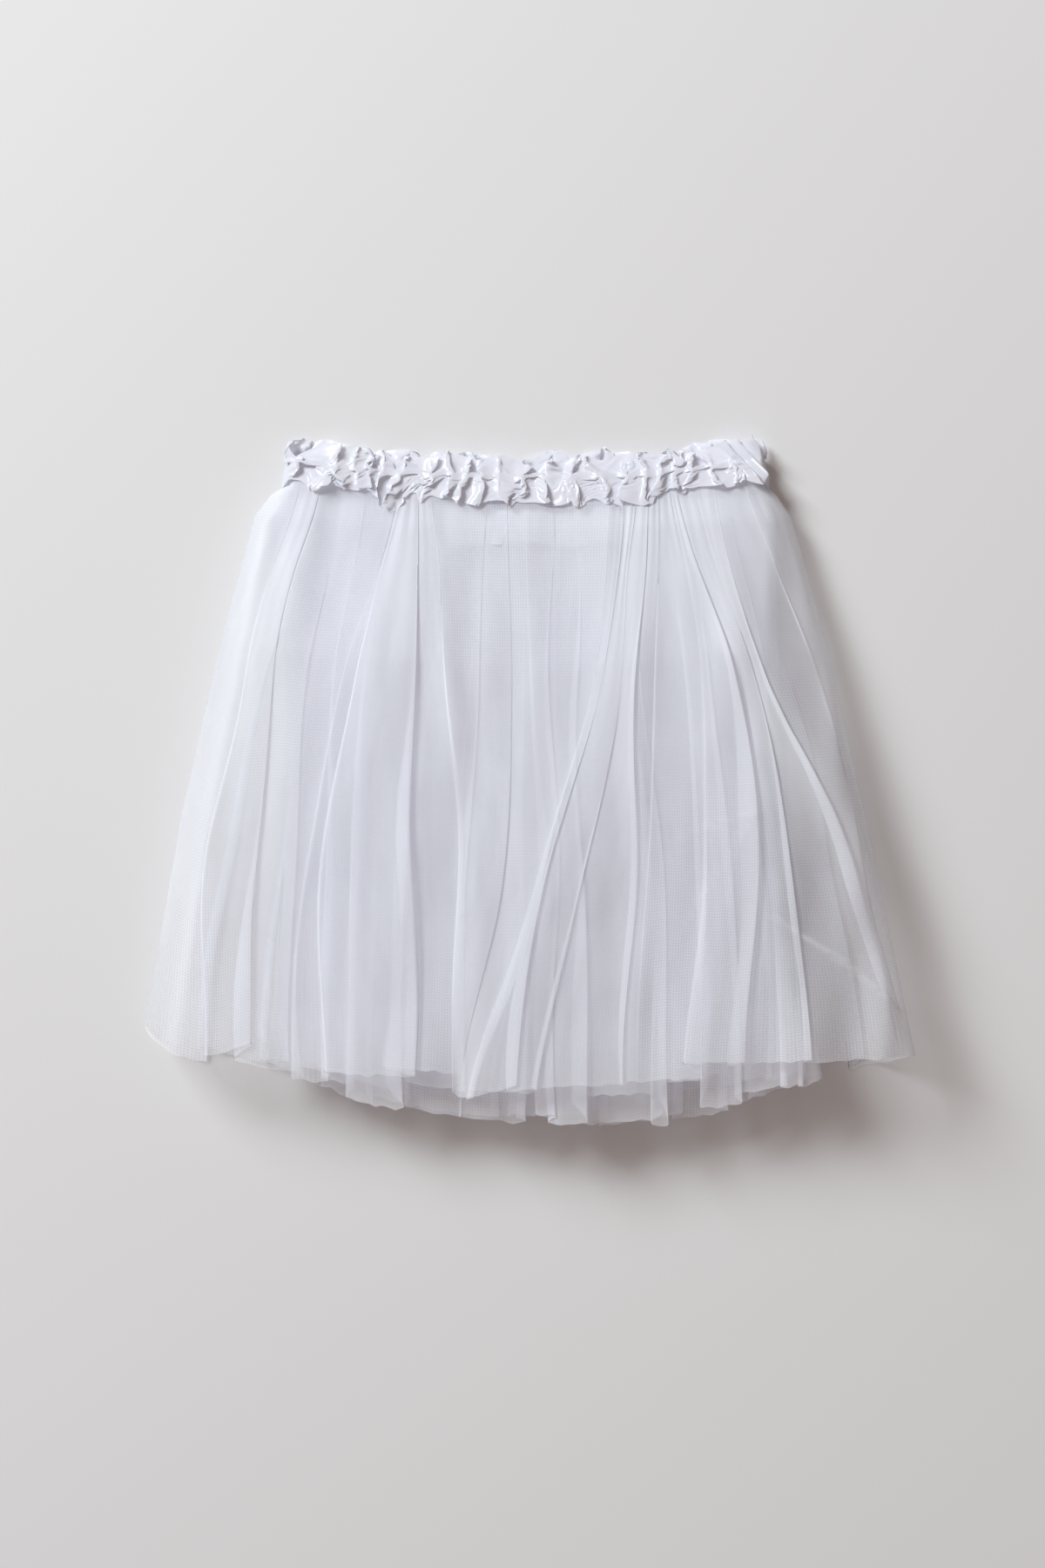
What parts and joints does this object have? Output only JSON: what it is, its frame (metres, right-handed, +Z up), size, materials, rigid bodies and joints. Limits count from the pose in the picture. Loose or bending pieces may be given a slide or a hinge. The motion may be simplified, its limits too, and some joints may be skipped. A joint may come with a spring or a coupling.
{
  "type": "tutu skirt",
  "caption": "Tutu skirt laid flat, face up: gathered see-through net layers fan out from a ruched satin waistband, and the lower layers show below the outer hem.",
  "frame": {"origin": "on the surface that the skirt lies on, below the middle of the laid-out skirt", "axes": "+X to the wearer's left, +Y from the hem to the waistband, +Z up from the surface"},
  "size_m": [0.449, 0.4059, 0.0589],
  "materials": {
    "outer_net": "soft white nylon net, fine mesh, see-through, faintly cool",
    "inner_net": "soft white nylon net, fine mesh, see-through",
    "satin": "white polyester satin, ruched on elastic, with a soft gloss along the ruffles"
  },
  "bodies": {
    "root": {"net_outer_front": "outer_net", "net_outer_back": "outer_net", "net_middle_front": "inner_net", "net_middle_back": "inner_net", "net_under_front": "inner_net", "net_under_back": "inner_net", "waistband_front": "satin", "waistband_back": "satin", "satin_tail": "satin"}
  },
  "joints": []
}
